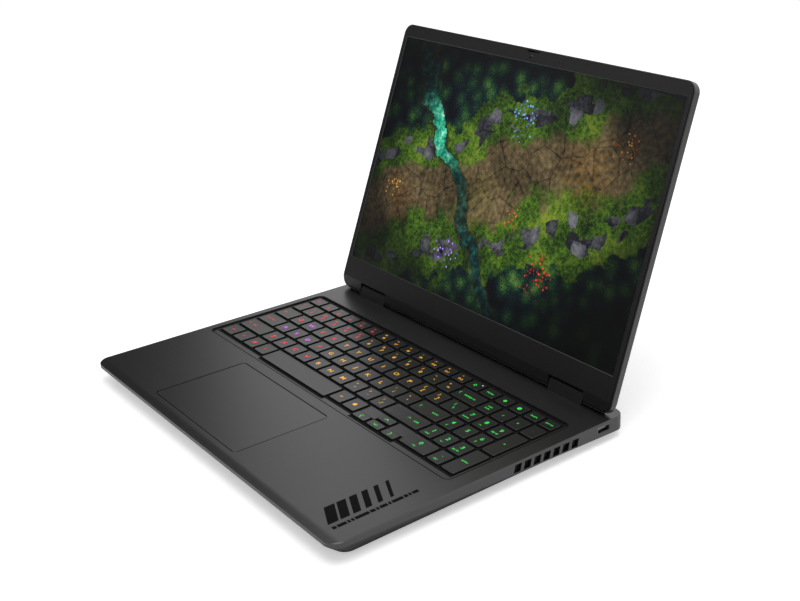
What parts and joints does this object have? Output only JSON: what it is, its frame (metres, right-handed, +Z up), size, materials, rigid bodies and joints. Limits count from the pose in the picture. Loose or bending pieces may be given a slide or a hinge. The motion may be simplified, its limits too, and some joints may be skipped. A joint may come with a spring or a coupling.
{
  "type": "laptop computer",
  "caption": "Dark grey gaming laptop, open, with a keyboard with number pad, touchpad, side cooling vents and a lid on two raised hinge towers.",
  "frame": {"origin": "on the desk, under the middle of the open laptop's outline", "axes": "+X to the user's right, +Y away from the user, +Z up"},
  "size_m": [0.357, 0.3395, 0.2604],
  "materials": {
    "deck_metal": "fine satin",
    "keycap": "matt",
    "key_frame": "matt",
    "touch_glass": "satin",
    "bezel": "matt",
    "screen": "low gloss",
    "rubber": "matt",
    "under_plastic": "matt",
    "steel": "brushed",
    "socket_plastic": "matt",
    "fin_metal": "plain",
    "copper": "plain",
    "board": "matt",
    "battery_wrap": "matt"
  },
  "bodies": {
    "base": {"top_case": "deck_metal", "hinge_tower_left": "deck_metal", "hinge_tower_right": "deck_metal", "keyboard_frame": "key_frame", "front_feet": "rubber", "rear_foot": "rubber", "bottom_cover": "under_plastic", "fan_housings": "under_plastic", "speaker_left": "under_plastic", "speaker_right": "under_plastic", "keyboard_plate": "steel", "touchpad_support": "steel", "hinge_brackets": "steel", "usb_port_right": "steel", "usb_port_left": "steel", "ethernet_port": "steel", "hdmi_port": "steel", "usb_c_ports": "steel", "audio_jack": "socket_plastic", "power_inlet": "socket_plastic", "side_fin_stacks": "fin_metal", "rear_fin_stacks": "fin_metal", "heat_pipes": "copper", "mainboard": "board", "memory_modules": "board", "ssd": "board", "wifi_card": "board", "battery": "battery_wrap"},
    "lid": {"lid_cover": "deck_metal", "display_bezel": "bezel", "bezel_seal": "rubber", "display_panel": "screen", "camera_module": "under_plastic", "hinge_leaves": "steel"},
    "privacy_shutter": {"privacy_shutter": "under_plastic"},
    "touchpad": {"touchpad": "touch_glass"},
    "fan_left": {"fan_impeller_left": "under_plastic"},
    "fan_right": {"fan_impeller_right": "under_plastic"},
    "function_row_keys": {"function_row_keys": "keycap"},
    "power_key": {"power_key": "keycap"},
    "number_row_keys": {"number_row_keys": "keycap"},
    "backspace_key": {"backspace_key": "keycap"},
    "tab_key": {"tab_key": "keycap"},
    "upper_letter_keys": {"upper_letter_keys": "keycap"},
    "caps_lock_key": {"caps_lock_key": "keycap"},
    "home_letter_keys": {"home_letter_keys": "keycap"},
    "enter_key": {"enter_key": "keycap"},
    "left_shift_key": {"left_shift_key": "keycap"},
    "lower_letter_keys": {"lower_letter_keys": "keycap"},
    "right_shift_key": {"right_shift_key": "keycap"},
    "modifier_keys": {"modifier_keys": "keycap"},
    "space_bar": {"space_bar": "keycap"},
    "arrow_keys": {"arrow_keys": "keycap"},
    "numpad_keys": {"numpad_keys": "keycap"},
    "numpad_plus_key": {"numpad_plus_key": "keycap"},
    "numpad_enter_key": {"numpad_enter_key": "keycap"}
  },
  "joints": [
    {"name": "lid_hinge", "type": "hinge", "parent": "base", "child": "lid", "pos_m": [0, 0.0809, 0.02265], "axis": [-1, 0, 0], "range_deg": [-110.25, 39.75]},
    {"name": "shutter_slide", "type": "slide", "parent": "lid", "child": "privacy_shutter", "axis": [1, 0, 0], "range_m": [0, 0.014]},
    {"name": "touchpad_click", "type": "hinge", "parent": "base", "child": "touchpad", "pos_m": [-0.028, -0.0786, 0.01675], "axis": [1, 0, 0], "range_deg": [0, 0.36], "stiffness_Nm_per_rad": 8, "springref_deg": -0.34},
    {"name": "fan_left_spin", "type": "hinge", "parent": "base", "child": "fan_left", "pos_m": [-0.131, 0.0325, 0.0077], "axis": [0, 0, 1], "continuous": true},
    {"name": "fan_right_spin", "type": "hinge", "parent": "base", "child": "fan_right", "pos_m": [0.131, 0.0325, 0.0077], "axis": [0, 0, 1], "continuous": true},
    {"name": "function_row_press", "type": "slide", "parent": "base", "child": "function_row_keys", "axis": [0, 0, -1], "range_m": [0, 0.0014], "stiffness_N_per_m": 400, "springref_m": -0.0008},
    {"name": "power_press", "type": "slide", "parent": "base", "child": "power_key", "axis": [0, 0, -1], "range_m": [0, 0.0014], "stiffness_N_per_m": 400, "springref_m": -0.0008},
    {"name": "number_row_press", "type": "slide", "parent": "base", "child": "number_row_keys", "axis": [0, 0, -1], "range_m": [0, 0.0014], "stiffness_N_per_m": 400, "springref_m": -0.0008},
    {"name": "backspace_press", "type": "slide", "parent": "base", "child": "backspace_key", "axis": [0, 0, -1], "range_m": [0, 0.0014], "stiffness_N_per_m": 400, "springref_m": -0.0008},
    {"name": "tab_press", "type": "slide", "parent": "base", "child": "tab_key", "axis": [0, 0, -1], "range_m": [0, 0.0014], "stiffness_N_per_m": 400, "springref_m": -0.0008},
    {"name": "upper_letter_press", "type": "slide", "parent": "base", "child": "upper_letter_keys", "axis": [0, 0, -1], "range_m": [0, 0.0014], "stiffness_N_per_m": 400, "springref_m": -0.0008},
    {"name": "caps_lock_press", "type": "slide", "parent": "base", "child": "caps_lock_key", "axis": [0, 0, -1], "range_m": [0, 0.0014], "stiffness_N_per_m": 400, "springref_m": -0.0008},
    {"name": "home_letter_press", "type": "slide", "parent": "base", "child": "home_letter_keys", "axis": [0, 0, -1], "range_m": [0, 0.0014], "stiffness_N_per_m": 400, "springref_m": -0.0008},
    {"name": "enter_press", "type": "slide", "parent": "base", "child": "enter_key", "axis": [0, 0, -1], "range_m": [0, 0.0014], "stiffness_N_per_m": 400, "springref_m": -0.0008},
    {"name": "left_shift_press", "type": "slide", "parent": "base", "child": "left_shift_key", "axis": [0, 0, -1], "range_m": [0, 0.0014], "stiffness_N_per_m": 400, "springref_m": -0.0008},
    {"name": "lower_letter_press", "type": "slide", "parent": "base", "child": "lower_letter_keys", "axis": [0, 0, -1], "range_m": [0, 0.0014], "stiffness_N_per_m": 400, "springref_m": -0.0008},
    {"name": "right_shift_press", "type": "slide", "parent": "base", "child": "right_shift_key", "axis": [0, 0, -1], "range_m": [0, 0.0014], "stiffness_N_per_m": 400, "springref_m": -0.0008},
    {"name": "modifier_press", "type": "slide", "parent": "base", "child": "modifier_keys", "axis": [0, 0, -1], "range_m": [0, 0.0014], "stiffness_N_per_m": 400, "springref_m": -0.0008},
    {"name": "space_bar_press", "type": "slide", "parent": "base", "child": "space_bar", "axis": [0, 0, -1], "range_m": [0, 0.0014], "stiffness_N_per_m": 400, "springref_m": -0.0008},
    {"name": "arrow_press", "type": "slide", "parent": "base", "child": "arrow_keys", "axis": [0, 0, -1], "range_m": [0, 0.0014], "stiffness_N_per_m": 400, "springref_m": -0.0008},
    {"name": "numpad_press", "type": "slide", "parent": "base", "child": "numpad_keys", "axis": [0, 0, -1], "range_m": [0, 0.0014], "stiffness_N_per_m": 400, "springref_m": -0.0008},
    {"name": "numpad_plus_press", "type": "slide", "parent": "base", "child": "numpad_plus_key", "axis": [0, 0, -1], "range_m": [0, 0.0014], "stiffness_N_per_m": 400, "springref_m": -0.0008},
    {"name": "numpad_enter_press", "type": "slide", "parent": "base", "child": "numpad_enter_key", "axis": [0, 0, -1], "range_m": [0, 0.0014], "stiffness_N_per_m": 400, "springref_m": -0.0008}
  ]
}
